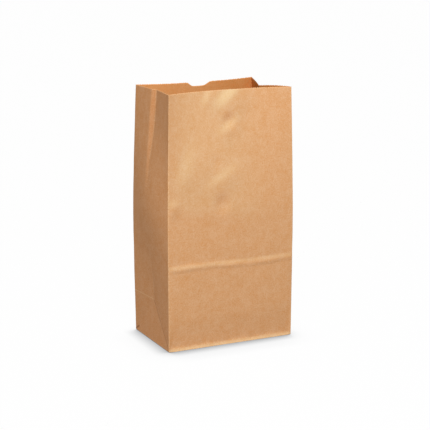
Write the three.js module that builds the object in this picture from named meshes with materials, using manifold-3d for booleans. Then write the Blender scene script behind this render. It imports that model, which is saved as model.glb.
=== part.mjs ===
// A brown kraft paper lunch sack, popped open and standing on its own flat bottom.
//
// The sack is one sheet of paper. It is wrapped into a tube of four panels, glued along one seam on the
// back, creased down the middle of each side panel (the gusset), and folded shut at the bottom out of the
// tube's own end. The knife that cuts the tube leaves fine teeth along the rim and along the bottom flap.
// Millimetres throughout: +Z up, the front panel faces -Y, the width runs along X, and the origin is the
// middle of the bottom, on the surface that the sack stands on.

import * as THREE from "three";
import { mergeVertices } from "three/addons/utils/BufferGeometryUtils.js";
import Module from "manifold-3d";

const wasm = await Module();
wasm.setup();

// The sheet, and the box that it folds into
const bagWidth = 129;
const bagDepth = 80;
const bagHeight = 241.3;
const paperThickness = 0.1;
const baseFoldRadius = 0.8;

// The bottom: how far the tube's end reaches in past each base edge, and its plies, inner to outer:
// side flaps, tucked corner triangles, front flap, back flap
const bottomFlapLength = 50;
const bottomPlies = 4;

// The long glued seam on the back, measured towards -X from the middle of the back panel
const seamCentre = 26;
const seamWidth = 18;
const seamSettle = 6;

// The knife's teeth
const toothPitch = 2.15;
const toothDepth = 0.6;

// The thumb notch in the back panel's rim
const notchWidth = 26;
const notchDepth = 4.1;
const notchFlankAngle = THREE.MathUtils.degToRad(36);
const notchCornerRadius = 5;

// Soft mark across the front panel, where the folded bottom's edge pressed while the sack lay flat
const imprintSetback = 2.5;
const imprintRise = 0.9;
const imprintUpperFlank = 5;
const imprintLowerFlank = 3.8;
const imprintLowerShare = 0.45;

// Crease across the back panel, where the bottom folded up against it
const backCreaseDepth = 0.5;
const backCreaseFlank = 5;

// The front and back panels stand out a little at the foot, and bow in towards the rim
const footLip = 0.5;
const footHeight = 3.8;
const frontBow = 10.5;
const backBow = 9.5;
const backBowShift = 8;
const bowFlatness = 2.6;
const bowStart = 124;
const bowStartTilt = 0.16;

// The gusset creases: pinched in at the rim, bellied out at mid height, and dented in at the peak of the
// bottom's triangle
const leftPinch = 1.9;
const leftPinchStart = 165;
const rightPinch = 13;
const rightPinchStart = 140;
const gussetBelly = 4.2;
const gussetBellyHeight = 135;
const gussetBellySpan = 60;
const gussetBellyRise = 78;
const gussetRimDrop = 0.019;
const peakDent = 4.6;
const peakFade = 62;

// A long narrow leaf of the left gusset, just behind its crease, folds in more steeply than the rest
const leafDepth = 3.4;
const leafWidth = 9.5;
const leafFoot = 138;
const leafWidest = 222;
const leafRimNarrowing = 0.5;

// How far each standing edge moves off the box: leaning in at the rim, and bellied at mid height
const edges = {
  frontLeft: { side: -1, face: -1, leanX: 1.6, leanY: -0.3, bellyX: 0 },
  frontRight: { side: 1, face: -1, leanX: -3, leanY: 1, bellyX: 0.7 },
  backRight: { side: 1, face: 1, leanX: -2.6, leanY: -2, bellyX: 0.7 },
  backLeft: { side: -1, face: 1, leanX: 2.2, leanY: -2, bellyX: -1.3 },
};
const leanStart = 108;

// Soft dents that handling left in the front panel, each a long rise between two points on the panel
const frontDents = [
  { from: [12, 241], to: [-8, 221], width: 6, rise: 0.8 },
  { from: [16, 213], to: [-7, 196], width: 6, rise: 0.7 },
  { from: [10, 169], to: [-23, 152], width: 7, rise: 0.6 },
  { from: [-20, 240], to: [-14, 211], width: 6, rise: 0.4 },
  { from: [-36, 192], to: [-54, 148], width: 9, rise: 0.8 },
];

// The mesh is no coarser than this
const columnPitch = 8;
const rowPitch = 11;

const clamp01 = (v) => Math.min(1, Math.max(0, v));

// 1 at v = 0, falling smoothly to 0 at v = -1 and v = 1
const hump = (v) => (Math.abs(v) < 1 ? (1 + Math.cos(Math.PI * v)) / 2 : 0);

// 0 below v = 0, then a straight rise to 1 at v = 1, with a soft start
function softRamp(v) {
  const softness = 0.2;
  const r = Math.max(0, v);
  return (Math.hypot(r, softness) - softness) / (Math.hypot(1, softness) - softness);
}

const towardsRim = (z, start) => softRamp((z - start) / (bagHeight - start));

// 1 on a panel's middle line, falling straight to 0 at its two folds
const tent = (across, width) => 1 - Math.abs(across) / (width / 2);

function dentRelief(x, z) {
  let relief = 0;
  for (const { from, to, width, rise } of frontDents) {
    const run = [to[0] - from[0], to[1] - from[1]];
    const length = Math.hypot(...run);
    const along = ((x - from[0]) * run[0] + (z - from[1]) * run[1]) / length;
    const across = ((x - from[0]) * run[1] - (z - from[1]) * run[0]) / length;
    relief += rise * hump(across / width) * hump((along - length / 2) / (length / 2 + width));
  }
  return relief;
}

function panelBow(x, z, depth) {
  const start = bowStart - bowStartTilt * x;
  const profile = 1 - Math.abs((2 * x) / bagWidth) ** bowFlatness;
  return -depth * profile * towardsRim(z, start);
}

const foot = (z) => footLip * clamp01(1 - z / footHeight) ** 1.5;

// The mark of the folded bottom: above its crest the panel drops back at once, and below it by a share at
// once and by the rest little by little, down to the foot
function imprintRelief(z) {
  const crest = bagDepth - imprintSetback;
  if (z > crest) return imprintRise * hump((z - crest) / imprintUpperFlank);
  const dropped = imprintLowerShare * hump((z - crest) / imprintLowerFlank);
  return imprintRise * (dropped + (1 - imprintLowerShare) * clamp01(z / crest));
}

// Each relief is how far a panel stands out from the straight line between its two folds
function frontRelief(x, z) {
  const nearFold = clamp01((bagWidth / 2 - Math.abs(x)) / columnPitch);
  const soft = imprintRelief(z) + foot(z) + dentRelief(x, z);
  return panelBow(x, z, frontBow) + nearFold * soft;
}

function backRelief(x, z) {
  const nearFold = clamp01((bagWidth / 2 - Math.abs(x)) / columnPitch);
  const crease = backCreaseDepth * hump((z - bagDepth / 2) / backCreaseFlank);
  const lopsided = 1 - (backBowShift * x) / (bagWidth / 2) ** 2;
  return panelBow(x, z, backBow) * lopsided + nearFold * (foot(z) - crease);
}

// The bottom's triangle: its peak is on the gusset crease, half the depth up, and pops inwards
function peakRelief(y, z) {
  const peak = bagDepth / 2;
  const across = tent(y, bagDepth);
  if (z <= peak) return -peakDent * Math.min(z / peak, across);
  const faded = clamp01((z - peak) / peakFade);
  return -peakDent * across * (y > 0 ? (1 - faded) ** 1.5 : hump(faded));
}

function gussetRelief(y, z, pinch, pinchStart) {
  const span = z > gussetBellyHeight ? gussetBellyRise : gussetBellySpan;
  const belly = gussetBelly * hump((z - gussetBellyHeight) / span);
  const arch = Math.cos((Math.PI * y) / bagDepth);
  const pinched = pinch * tent(y, bagDepth) * towardsRim(z, pinchStart);
  return belly * arch - pinched + peakRelief(y, z);
}

// The leaf grows from its foot to its widest line, and is narrower again at the rim
function leafRelief(y, z) {
  if (z <= leafFoot) return 0;
  const past = clamp01((z - leafWidest) / (bagHeight - leafWidest));
  const grown = z > leafWidest ? 1 : hump((z - leafWidest) / (leafWidest - leafFoot));
  const width = leafWidth * (Math.sqrt(grown) - leafRimNarrowing * past);
  const across = y > 0 ? clamp01(1 - y / width) : tent(y, bagDepth);
  return -leafDepth * (grown - leafRimNarrowing * past) * across;
}

const rightRelief = (y, z) => gussetRelief(y, z, rightPinch, rightPinchStart);
const leftRelief = (y, z) => gussetRelief(y, z, leftPinch, leftPinchStart) + leafRelief(y, z);

// The panels in order round the sack, anticlockwise from above. `across` turns a station along the panel
// into the x or y that its relief is written in.
const panels = [
  { width: bagWidth, from: "frontLeft", to: "frontRight", outward: [0, -1], across: 1, relief: frontRelief },
  { width: bagDepth, from: "frontRight", to: "backRight", outward: [1, 0], across: 1, relief: rightRelief },
  { width: bagWidth, from: "backRight", to: "backLeft", outward: [0, 1], across: -1, relief: backRelief },
  { width: bagDepth, from: "backLeft", to: "frontLeft", outward: [-1, 0], across: -1, relief: leftRelief },
];
const backPanel = panels[2];

function edgeAt(name, z, inset) {
  const { side, face, leanX, leanY, bellyX } = edges[name];
  const lean = towardsRim(z, leanStart);
  const belly = Math.sin(Math.PI * clamp01(z / bagHeight));
  return [
    side * (bagWidth / 2 - inset) + leanX * lean + bellyX * belly,
    face * (bagDepth / 2 - inset) + leanY * lean,
  ];
}

// The turn of the base fold: how far in the paper is at a height under the fold's radius
function foldInset(z) {
  const below = Math.max(0, baseFoldRadius - z);
  return baseFoldRadius - Math.sqrt(baseFoldRadius ** 2 - below ** 2);
}

// The point of the wall at a station along a panel, a height, and a depth into the paper
function wallPoint(panel, station, z, inset) {
  const share = station / panel.width + 0.5;
  const [fromX, fromY] = edgeAt(panel.from, z, inset + foldInset(z));
  const [toX, toY] = edgeAt(panel.to, z, inset + foldInset(z));
  const out = panel.relief(panel.across * station, z);
  const isGusset = panel.width === bagDepth && panel.outward[0] !== 0;
  const drop = isGusset ? gussetRimDrop * out ** 2 * towardsRim(z, leanStart) : 0;
  return [
    fromX + (toX - fromX) * share + panel.outward[0] * out,
    fromY + (toY - fromY) * share + panel.outward[1] * out,
    z - drop,
  ];
}

// Where the seam's two plies lie: the outer ply's free edge shows outside, the inner ply's inside, and
// past the seam the outer ply settles back in line
const seamStart = seamCentre - seamWidth / 2;
const seamEnd = seamCentre + seamWidth / 2;
const settled = (station) => clamp01(1 - (station - seamEnd) / seamSettle);
const surfaces = {
  outer: {
    inset: 0,
    step: seamStart,
    plies: (station) => (station < seamStart ? 0 : settled(station)),
  },
  inner: {
    inset: paperThickness,
    step: seamEnd,
    plies: (station) => (station < seamEnd ? 0 : settled(station)),
  },
};

// Evenly divided stations that keep every given stop
function divide(stops, pitch) {
  const stations = [stops[0]];
  for (let i = 1; i < stops.length; i++) {
    const gap = stops[i] - stops[i - 1];
    const parts = Math.max(1, Math.round(gap / pitch));
    for (let k = 1; k <= parts; k++) stations.push(stops[i - 1] + (gap * k) / parts);
  }
  return stations;
}

// One surface's columns: where each stands round the sack, and how many plies it is pushed out by
function columnsOf(surface, stationsOf) {
  const columns = [];
  let start = 0;
  for (const panel of panels) {
    for (const { station, tooth } of stationsOf(panel)) {
      const girth = start + panel.width / 2 + station;
      const plies = panel === backPanel ? surface.plies(station) : 0;
      if (panel === backPanel && station === surface.step) {
        columns.push({ panel, station, girth, tooth, plies: 0 });
      }
      columns.push({ panel, station, girth, tooth, plies });
    }
    start += panel.width;
  }
  return columns;
}

function wallStations(panel) {
  const half = panel.width / 2;
  const seamStops = [seamStart, seamEnd, seamEnd + seamSettle];
  const stops = [-half, ...(panel === backPanel ? seamStops : [0]), half];
  return divide(stops, columnPitch)
    .slice(0, -1)
    .map((station) => ({ station, tooth: 0 }));
}

function rimStations(panel) {
  const teeth = Math.max(1, Math.round(panel.width / toothPitch));
  const half = panel.width / 2;
  const stations = [];
  for (let i = 0; i < 2 * teeth; i++) {
    stations.push({ station: -half + (panel.width * i) / (2 * teeth), tooth: i % 2 });
  }
  if (panel === backPanel) {
    for (const stop of [seamStart, seamEnd]) {
      const place = ((stop + half) / panel.width) * 2 * teeth;
      const tooth = 1 - Math.abs((place % 2) - 1);
      stations.push({ station: stop, tooth });
    }
    stations.sort((a, b) => a.station - b.station);
  }
  return stations;
}

// Heights of the wall's rows: the base fold's turn, then every feature's own line
function wallHeights() {
  const turn = [0, 1, 2].map((k) => baseFoldRadius * (1 - Math.cos((k * Math.PI) / 6)));
  const crest = bagDepth - imprintSetback;
  const gussetSquare = bagDepth / 2 / Math.round(bagDepth / 2 / columnPitch);
  const peakRows = divide([0, bagDepth / 2], gussetSquare).slice(1);
  const lines = [
    baseFoldRadius,
    footHeight,
    ...peakRows,
    crest - imprintLowerFlank,
    crest,
    crest + imprintUpperFlank,
    bagHeight - 2 * toothDepth - paperThickness,
  ];
  return [...turn, ...divide(lines.sort((a, b) => a - b), rowPitch)];
}

// Builds the paper's skin ring by ring, with the plain floors that close it inside and out
function paperShell() {
  const points = [];
  const triangles = [];

  function addRing(surface, columns, heightOf) {
    return columns.map(({ panel, station, girth, tooth, plies }) => {
      const inset = surface.inset - plies * paperThickness;
      points.push(wallPoint(panel, station, heightOf(tooth), inset));
      return { index: points.length - 1, girth, panel, station, inset };
    });
  }

  // Of a cell's two diagonals, the one that lies nearer the true surface
  function splitCell(a, b, c, d, middle) {
    const offBy = (p, q) =>
      Math.hypot(...[0, 1, 2].map((k) => (points[p.index][k] + points[q.index][k]) / 2 - middle[k]));
    return offBy(a, c) <= offBy(b, d) ? [[a, b, c], [a, c, d]] : [[a, b, d], [b, c, d]];
  }

  function joinRows(lower, upper, zLower, zUpper, facing) {
    lower.forEach((a, i) => {
      const next = (i + 1) % lower.length;
      const b = lower[next];
      const width = b.panel === a.panel ? b.station - a.station : a.panel.width / 2 - a.station;
      const z = (zLower + zUpper) / 2;
      const middle = wallPoint(a.panel, a.station + width / 2, z, (a.inset + b.inset) / 2);
      addFaces(splitCell(a, b, upper[next], upper[i], middle), facing);
    });
  }

  // Joins two rings whose stations differ, always along the nearer new edge
  function joinRings(lower, upper, facing) {
    const total = panels.reduce((sum, panel) => sum + panel.width, 0);
    const girthOf = (ring, i) => (i < ring.length ? ring[i].girth : total);
    let i = 0;
    let j = 0;
    while (i < lower.length || j < upper.length) {
      const a = lower[i % lower.length];
      const b = upper[j % upper.length];
      const lowerNearer = i < lower.length && girthOf(lower, i + 1) <= girthOf(upper, j + 1);
      const lowerFirst = j >= upper.length || lowerNearer;
      if (lowerFirst) addFaces([[a, lower[(i + 1) % lower.length], b]], facing);
      else addFaces([[a, upper[(j + 1) % upper.length], b]], facing);
      if (lowerFirst) i++;
      else j++;
    }
  }

  function addFaces(faces, facing) {
    for (const [a, b, c] of faces) {
      if (facing > 0) triangles.push(a.index, b.index, c.index);
      else triangles.push(a.index, c.index, b.index);
    }
  }

  function closeFloor(ring, facing) {
    const outline = ring.map(({ index }) => new THREE.Vector2(points[index][0], points[index][1]));
    for (const [a, b, c] of THREE.ShapeUtils.triangulateShape(outline, [])) {
      addFaces([[ring[a], ring[b], ring[c]]], facing);
    }
  }

  function addSkin(surface, heights, facing) {
    const columns = columnsOf(surface, wallStations);
    const rows = heights.map((z) => addRing(surface, columns, () => z));
    for (let k = 1; k < rows.length; k++) joinRows(rows[k - 1], rows[k], heights[k - 1], heights[k], facing);
    const rim = addRing(surface, columnsOf(surface, rimStations), (tooth) => bagHeight - tooth * toothDepth);
    joinRings(rows.at(-1), rim, facing);
    closeFloor(rows[0], -facing);
    return rim;
  }

  const heights = wallHeights();
  const floorTop = bottomPlies * paperThickness;
  const outerRim = addSkin(surfaces.outer, heights, 1);
  const innerHeights = [floorTop, ...heights.filter((z) => z > floorTop + paperThickness)];
  const innerRim = addSkin(surfaces.inner, innerHeights, -1);
  joinRings(outerRim, innerRim, 1);

  return new wasm.Manifold(
    new wasm.Mesh({
      numProp: 3,
      vertProperties: Float32Array.from(points.flat()),
      triVerts: Uint32Array.from(triangles),
    }),
  );
}

// A three.js geometry as a solid that can be cut and joined
function solidOf(geometry) {
  const bare = geometry.clone();
  bare.deleteAttribute("normal");
  bare.deleteAttribute("uv");
  const merged = mergeVertices(bare);
  return new wasm.Manifold(
    new wasm.Mesh({
      numProp: 3,
      vertProperties: merged.attributes.position.array,
      triVerts: Uint32Array.from(merged.index.array),
    }),
  );
}

function prism(outline, bottom, top) {
  const shape = new THREE.Shape(outline.map(([x, y]) => new THREE.Vector2(x, y)));
  const geometry = new THREE.ExtrudeGeometry(shape, { depth: top - bottom, bevelEnabled: false });
  return solidOf(geometry.translate(0, 0, bottom));
}

// One of the two long bottom flaps, seen from above: folded at 45 degrees from both base corners, with
// the knife's teeth along its free edge. It runs on a little past the base edge that it hangs from.
function flapOutline(face) {
  const past = bagDepth / 4;
  const baseEdge = bagDepth / 2 + past;
  const freeEdge = bagDepth / 2 - bottomFlapLength;
  const halfFree = bagWidth / 2 - bottomFlapLength;
  const outline = [
    [halfFree + past + bottomFlapLength, baseEdge],
    [-halfFree - past - bottomFlapLength, baseEdge],
  ];
  const teeth = Math.max(1, Math.round((2 * halfFree) / toothPitch));
  for (let i = 0; i <= 2 * teeth; i++) {
    outline.push([-halfFree + (halfFree * i) / teeth, freeEdge + (i % 2) * toothDepth]);
  }
  return face > 0 ? outline : outline.map(([x, y]) => [-x, -y]);
}

// The underside follows the folded plies: the back flap lowest, the front flap one ply up where the back
// flap doesn't cover it, and the side flaps' triangles two more plies up at the ends
function underside() {
  const margin = bagWidth;
  const square = [[-margin, -margin], [margin, -margin], [margin, margin], [-margin, margin]];
  const slab = (bottom, top) => prism(square, bottom, top);
  const backFlap = prism(flapOutline(1), -2 * margin, margin);
  const frontFlap = prism(flapOutline(-1), -2 * margin, margin);
  const aboveBackFlap = slab(-margin, paperThickness).subtract(backFlap);
  const aboveBothFlaps = slab(0, 3 * paperThickness).subtract(backFlap).subtract(frontFlap);
  return aboveBackFlap.add(aboveBothFlaps);
}

// Inside, the floor is two plies lower between the side flaps' ends
function floorRecess() {
  const halfGap = bagWidth / 2 - bottomFlapLength;
  const reach = bagDepth / 2 - baseFoldRadius - paperThickness;
  const outline = [[-halfGap, -reach], [halfGap, -reach], [halfGap, reach], [-halfGap, reach]];
  return prism(outline, 2 * paperThickness, (bottomPlies + 1) * paperThickness);
}

// The thumb notch: a shallow cut with slanting flanks and round corners, through the back panel alone
function thumbNotch() {
  const flankRun = notchDepth / Math.tan(notchFlankAngle);
  const halfTop = notchWidth / 2;
  const halfBottom = halfTop - flankRun;
  const past = bagDepth / 8;
  const cut = notchCornerRadius * Math.tan(notchFlankAngle / 2);
  const shape = new THREE.Shape();
  shape.moveTo(-halfTop - past / Math.tan(notchFlankAngle), past);
  shape.lineTo(-halfBottom - cut * Math.cos(notchFlankAngle), -notchDepth + cut * Math.sin(notchFlankAngle));
  shape.quadraticCurveTo(-halfBottom, -notchDepth, -halfBottom + cut, -notchDepth);
  shape.lineTo(halfBottom - cut, -notchDepth);
  shape.quadraticCurveTo(
    halfBottom,
    -notchDepth,
    halfBottom + cut * Math.cos(notchFlankAngle),
    -notchDepth + cut * Math.sin(notchFlankAngle),
  );
  shape.lineTo(halfTop + past / Math.tan(notchFlankAngle), past);
  const options = { depth: bagDepth / 2, bevelEnabled: false, curveSegments: 4 };
  const geometry = new THREE.ExtrudeGeometry(shape, options);
  geometry.rotateX(Math.PI / 2);
  return solidOf(geometry.translate(0, bagDepth / 2 + past, bagHeight));
}

function geometryOf(solid) {
  const mesh = solid.getMesh();
  const geometry = new THREE.BufferGeometry();
  geometry.setAttribute("position", new THREE.BufferAttribute(mesh.vertProperties, 3));
  geometry.setIndex(new THREE.BufferAttribute(mesh.triVerts, 1));
  return geometry;
}

function paperBag() {
  const cut = paperShell().subtract(underside()).subtract(floorRecess()).subtract(thumbNotch());
  const geometry = geometryOf(cut);
  geometry.computeBoundingBox();
  const { min, max } = geometry.boundingBox;
  geometry.translate(-(min.x + max.x) / 2, -(min.y + max.y) / 2, -min.z);
  geometry.computeVertexNormals();
  const kraft = new THREE.MeshStandardMaterial({ color: 0xcf9f6c, roughness: 0.85, metalness: 0 });
  const mesh = new THREE.Mesh(geometry, kraft);
  mesh.name = "paper_bag";
  return mesh;
}

const bag = new THREE.Group();
bag.add(paperBag());

export default bag;
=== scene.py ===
"""A brown kraft paper lunch sack, popped open and standing on its own folded bottom.

The sack's walls are one sheet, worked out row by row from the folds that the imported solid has, with the finer
marks that folding, packing and handling leave in the paper. Shapes are worked out in millimetres, and the
meshes are in metres. The front panel faces -Y, and the origin is the middle of the bottom.
"""

import math

import bpy
import numpy as np
from bpy.props import FloatProperty, FloatVectorProperty, IntProperty, PointerProperty
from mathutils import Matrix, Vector


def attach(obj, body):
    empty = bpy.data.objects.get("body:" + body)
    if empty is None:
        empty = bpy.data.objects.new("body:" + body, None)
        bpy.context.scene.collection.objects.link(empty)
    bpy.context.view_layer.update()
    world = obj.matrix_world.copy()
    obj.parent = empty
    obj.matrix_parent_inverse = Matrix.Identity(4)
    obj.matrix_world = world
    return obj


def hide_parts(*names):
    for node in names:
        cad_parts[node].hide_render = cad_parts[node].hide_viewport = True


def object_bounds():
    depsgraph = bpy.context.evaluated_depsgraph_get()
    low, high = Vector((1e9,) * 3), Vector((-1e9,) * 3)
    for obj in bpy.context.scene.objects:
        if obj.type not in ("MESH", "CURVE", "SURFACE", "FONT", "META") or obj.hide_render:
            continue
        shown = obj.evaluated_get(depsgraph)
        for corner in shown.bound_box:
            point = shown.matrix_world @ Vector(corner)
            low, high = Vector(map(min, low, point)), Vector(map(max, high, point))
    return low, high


bl_info = {
    "name": "Paper Lunch Sack",
    "version": (1, 0, 0),
    "blender": (4, 5, 0),
    "location": "View3D > Sidebar > Sack",
    "description": "Builds a kraft paper lunch sack and the studio that it stands in",
    "category": "Object",
}

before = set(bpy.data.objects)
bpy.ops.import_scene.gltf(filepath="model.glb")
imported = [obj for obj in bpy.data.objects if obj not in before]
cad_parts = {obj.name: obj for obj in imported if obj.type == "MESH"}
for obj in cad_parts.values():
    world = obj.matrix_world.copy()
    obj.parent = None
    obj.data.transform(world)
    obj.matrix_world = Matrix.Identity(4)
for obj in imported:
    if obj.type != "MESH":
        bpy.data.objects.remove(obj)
CAD_BOX = [list(corner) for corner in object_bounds()]

MM = 0.001

# The standing edges, as the panels meet them anticlockwise from above: which corner of the box each is,
# how far it leans in at the rim, and how far it bellies out at mid height, in millimetres
EDGES = {
    "front_left": {"side": -1, "face": -1, "lean": (1.6, -0.3), "belly": 0.0},
    "front_right": {"side": 1, "face": -1, "lean": (-1.9, 1.0), "belly": 0.7},
    "back_right": {"side": 1, "face": 1, "lean": (-3.4, 0.0), "belly": 0.7},
    "back_left": {"side": -1, "face": 1, "lean": (2.2, -2.0), "belly": -1.3},
}
LEAN_START = 108

# The front and back panels bow in towards the rim
FRONT_BOW = 10.5
BACK_BOW = 9.5
BACK_BOW_SHIFT = 8
BOW_FLATNESS = 2.6
BOW_START = 124
BOW_START_TILT = 0.16

# The paper rolls out in a thin wavy lip at the foot of the front and back panels, with a shallow dip over it.
# A wave is its height, its length over 2 pi, and its phase.
FOOT_LIP = 0.6
FOOT_HEIGHT = 3.8
FOOT_WAVES = ((0.16, 5.3, 0), (0.12, 2.1, 1))
FOOT_ROLL = 1.3
FOOT_DIP = 1.3
FOOT_DIP_TOP = 34

# The mark of the folded bottom's edge across the front, and the bottom's own crease across the back
IMPRINT_SETBACK = 2.5
IMPRINT_TILT = 0.012
IMPRINT_WAVES = ((-0.75, 15, 1 / 3), (0.2, 3.7, 0))
IMPRINT_RISE = 1.0
IMPRINT_RISE_WAVES = ((0.18, 6.3, 2),)
IMPRINT_RISE_LOSS = 0.2
IMPRINT_UPPER_FLANK = 5.6
IMPRINT_LOWER_FLANK = 3.8
IMPRINT_LOWER_SHARE = 0.38
BACK_CREASE_DEPTH = 0.5
BACK_CREASE_FLANK = 5

# The marks on a long panel fade out this close to its folds
MARKS_FADE = 4

# The gussets: how far their creases are pinched in at the rim, how far they belly out lower down, the dent at
# the peak of the bottom's triangle, and the leaf, a narrow facet behind the left crease
LEFT_PINCH = 2.7
LEFT_PINCH_START = 180
RIGHT_PINCH = 13
RIGHT_PINCH_START = 140
GUSSET_BELLY = 4.2
GUSSET_BELLY_HEIGHT = 135
GUSSET_BELLY_SPAN = 60
GUSSET_BELLY_RISE = 78
GUSSET_RIM_DROP = 0.016
PEAK_DENT = 2.8
PEAK_FADE = 62
LEAF_DEPTH = 2.5
LEAF_DEPTH_TAPER = 1.25
LEAF_WIDTH = 6.4
LEAF_FOOT = 128
LEAF_WIDEST = 222
LEAF_RIM_NARROWING = 0.14
# The leaf catches the light and is painted a warmer tint: how much, how fast it rises across the leaf, and
# where it stops
LEAF_LIT_TINT = 0.15
LEAF_LIT_TINT_RISE = 3
LEAF_LIT_TINT_EDGE = -0.5

# The glued seam on the back, towards -X from the middle
SEAM_CENTRE = 26
SEAM_WIDTH = 18
SEAM_SETTLE = 6
SEAM_STEP = 0.02

# The thumb notch: the length of its flanks on either side and the softness of its corners, over its depth
NOTCH_FLANKS = (1.5, 1.15)
NOTCH_SOFTNESS = 0.28
NOTCH_CORNER = 0.2
# The knife still cuts teeth where the notch is no deeper than this
NOTCH_TOOTHED = 0.05

# Marks that handling left in the front panel, each in x and z from the middle of the panel's foot. A rise is
# written along the middle of its steep side, which faces up and to the left. The other side sinks slowly.
# Widths along and across a rise are shares of its own. The steep side of each rise faces the lamp and gets a
# painted highlight, and the upper half of each dimple faces down and gets painted shade.
FRONT_RISES = (
    {"from": (16, 249), "to": (-14, 226), "width": 11.0, "rise": 1.8, "rubbed_and_sheen": 1.2},
    {"from": (-18, 243), "to": (-26, 228), "width": 7.0, "rise": 0.8, "rubbed_and_sheen": 0.6},
    {"from": (12, 217), "to": (-12, 201), "width": 7.0, "rise": 0.9, "rubbed_and_sheen": 0.65},
    {"from": (9, 173), "to": (-27, 153), "width": 8.0, "rise": 1.0, "rubbed_and_sheen": 0.5},
    {"from": (-39, 192), "to": (-55, 155), "width": 15.0, "rise": 1.2, "rubbed_and_sheen": 0.4},
    {"from": (-54, 142), "to": (-70, 140), "width": 6.5, "rise": 1.1, "rubbed_and_sheen": 0.6},
)
RISE_CREST = 0.5
RISE_FAR_SIDE = 2.4
RISE_HIGHLIGHT = 0.9
FRONT_DIMPLES = (
    {"at": (1, 212), "radius": 9.5, "depth": 1.3},
    {"at": (4, 197), "radius": 6.0, "depth": 0.3},
    {"at": (-14, 175), "radius": 9.0, "depth": 0.4},
    {"at": (-9, 136), "radius": 12.0, "depth": 1.2},
)
DIMPLE_SHADE = 0.35

# How far the long panels are made paler: all over, as painted sheen above the line where they bow in and lean
# back, as a painted highlight on the imprint's upper flank, and on the lip by wear and a painted highlight. A
# fade is the side that it is on, where it starts, over what length, and how much of the sheen it takes away.
RUBBED_ALL_OVER = 0.4
SHEEN_ABOVE_BOW = 0.36
SHEEN_LINE_DROP = 4
SHEEN_LINE_WAVES = ((2.5, 9, 0),)
SHEEN_LINE_SOFTNESS = 13
SHEEN_FADES = ((1, 2, 40, 0.95), (-1, 46, 14, 0.5))
IMPRINT_HIGHLIGHT = 0.5
IMPRINT_HIGHLIGHT_WIDTH = 0.6
FOOT_LIP_WEAR_AND_SHEEN = 1.6
MOST_RUBBED_AND_SHEEN = 1.8

# How far from a fold or an edge its wear reaches, and how worn it is. At the foot it is part wear and part
# painted highlight on the lip, which faces up to the lamp.
STANDING_WEAR = (1.2, 1.0)
FOOT_WEAR_AND_SHEEN = (2.0, 0.8)
RIM_WEAR = (1.2, 0.6)
GUSSET_WEAR = (0.9, 0.8)
GUSSET_WEAR_START = 150
GUSSET_WEAR_RISE = 40

# The panels anticlockwise from above, each between two edges. `across` turns a station along the panel into
# the x or y that its marks are written in.
PANELS = tuple(
    dict(zip(("name", "long", "from", "to", "outward", "across"), panel))
    for panel in (
        ("front", True, "front_left", "front_right", (0, -1), 1),
        ("right", False, "front_right", "back_right", (1, 0), 1),
        ("back", True, "back_right", "back_left", (0, 1), -1),
        ("left", False, "back_left", "front_left", (-1, 0), -1),
    )
)

# How many plies lie under each panel's own flap at the bottom, and the height over which a panel settles
PLIES_BELOW = {"back": 0, "front": 1, "left": 3, "right": 3}
PLY_SETTLE = 6

# The rows of the walls' sheet bend down into the notch over this height
NOTCH_TAPER = 14
# A fold's middle column sits this share of the way in from the sharp corner
FOLD_ROUNDING = 0.586

# Tints of the paper: its dark and pale fibres, a worn line that in places is a painted highlight, and the
# painted shade in a crease that folds in
DARK_TONE = (0.95, 0.865, 0.75, 1)
PALE_TONE = (1.05, 1.145, 1.34, 1)
WORN_AND_HIGHLIGHT_TINT = (1.18, 1.25, 1.35)
CREASE_SHADE = (0.45, 0.36, 0.3)
# The grain's contrast on fresh paper, and what rubbing takes from it
FRESH_GRAIN = 1.4
RUBBED_GRAIN = 0.5
# How far the grain shows in a worn line, in the roughness and as relief, and how little the paper shines
WORN_GRAIN = 0.8
GRAIN_ROUGHNESS = 0.08
GRAIN_RELIEF = {"Strength": 0.3, "Distance": 0.0001}
SHINE = 0.03

# The close shadow is how much of the floor's sky the sack hides, in a narrow round and in a wider one that
# looks backwards, which draws the shadow forward: reach, way and share of each
SHADOW_ROUNDS = ((1.0, (0.35, 0.35, 0.87), 0.62), (2.4, (0.25, 0.85, 0.46), 0.3))
SHADOW_CURVE = 1.5
SHADOW_GAIN = 1.5
SHADOW_TONE = (0.10, 0.105, 0.115, 1)
FLOOR_TONE = (0.55, 0.55, 0.55, 1)
FLOOR_REACH = 12.0
# The share of the floor that the camera sees as plain white
FLOOR_WHITE = 0.985

KEY_TARGET = (0, 0, 0.12)
CAMERA_PLACE = (-0.5605, -1.1683, 0.4172)
CAMERA_TARGET = (0.0022922, 0, 0.116484)


def length_setting(name, description, default):
    return FloatProperty(name=name, description=description, default=default, unit="LENGTH")


def share_setting(name, description, default):
    return FloatProperty(name=name, description=description, default=default, subtype="FACTOR")


def colour_setting(name, description, default):
    return FloatVectorProperty(name=name, description=description, default=default, size=3, subtype="COLOR")


class SackSizes(bpy.types.PropertyGroup):
    """The sheet, and the box that it folds into."""

    width: length_setting("Width", "Across the front panel, fold to fold", 0.129)
    depth: length_setting("Depth", "Across a gusset, fold to fold", 0.08)
    height: length_setting("Height", "From the floor to the rim", CAD_BOX[1][2])
    thickness: length_setting("Paper", "Thickness of one ply", 0.0001)
    fold_radius: length_setting("Foot radius", "Outside radius of the fold at the foot", 0.0005)
    edge_radius: length_setting("Edge radius", "Outside radius of the standing folds", 0.00045)
    flap: length_setting("Flap", "How far each bottom flap reaches in", 0.05)
    tooth_pitch: length_setting("Tooth pitch", "Distance between the knife's teeth", 0.00215)
    tooth_depth: length_setting("Tooth depth", "Depth of the knife's teeth", 0.0005)
    tooth_wear: share_setting("Tooth unevenness", "How much the teeth differ in depth", 0.35)
    notch_width: length_setting("Notch width", "Thumb notch across the rim", 0.025)
    notch_depth: length_setting("Notch depth", "Thumb notch below the rim", 0.0041)
    ripple: length_setting("Ripple", "Height of the paper's own waviness", 0.00012)
    ripple_size: length_setting("Ripple size", "Width of one ripple", 0.022)
    seed: IntProperty(name="Seed", description="Chooses the ripples and the uneven teeth", default=7)


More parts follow.
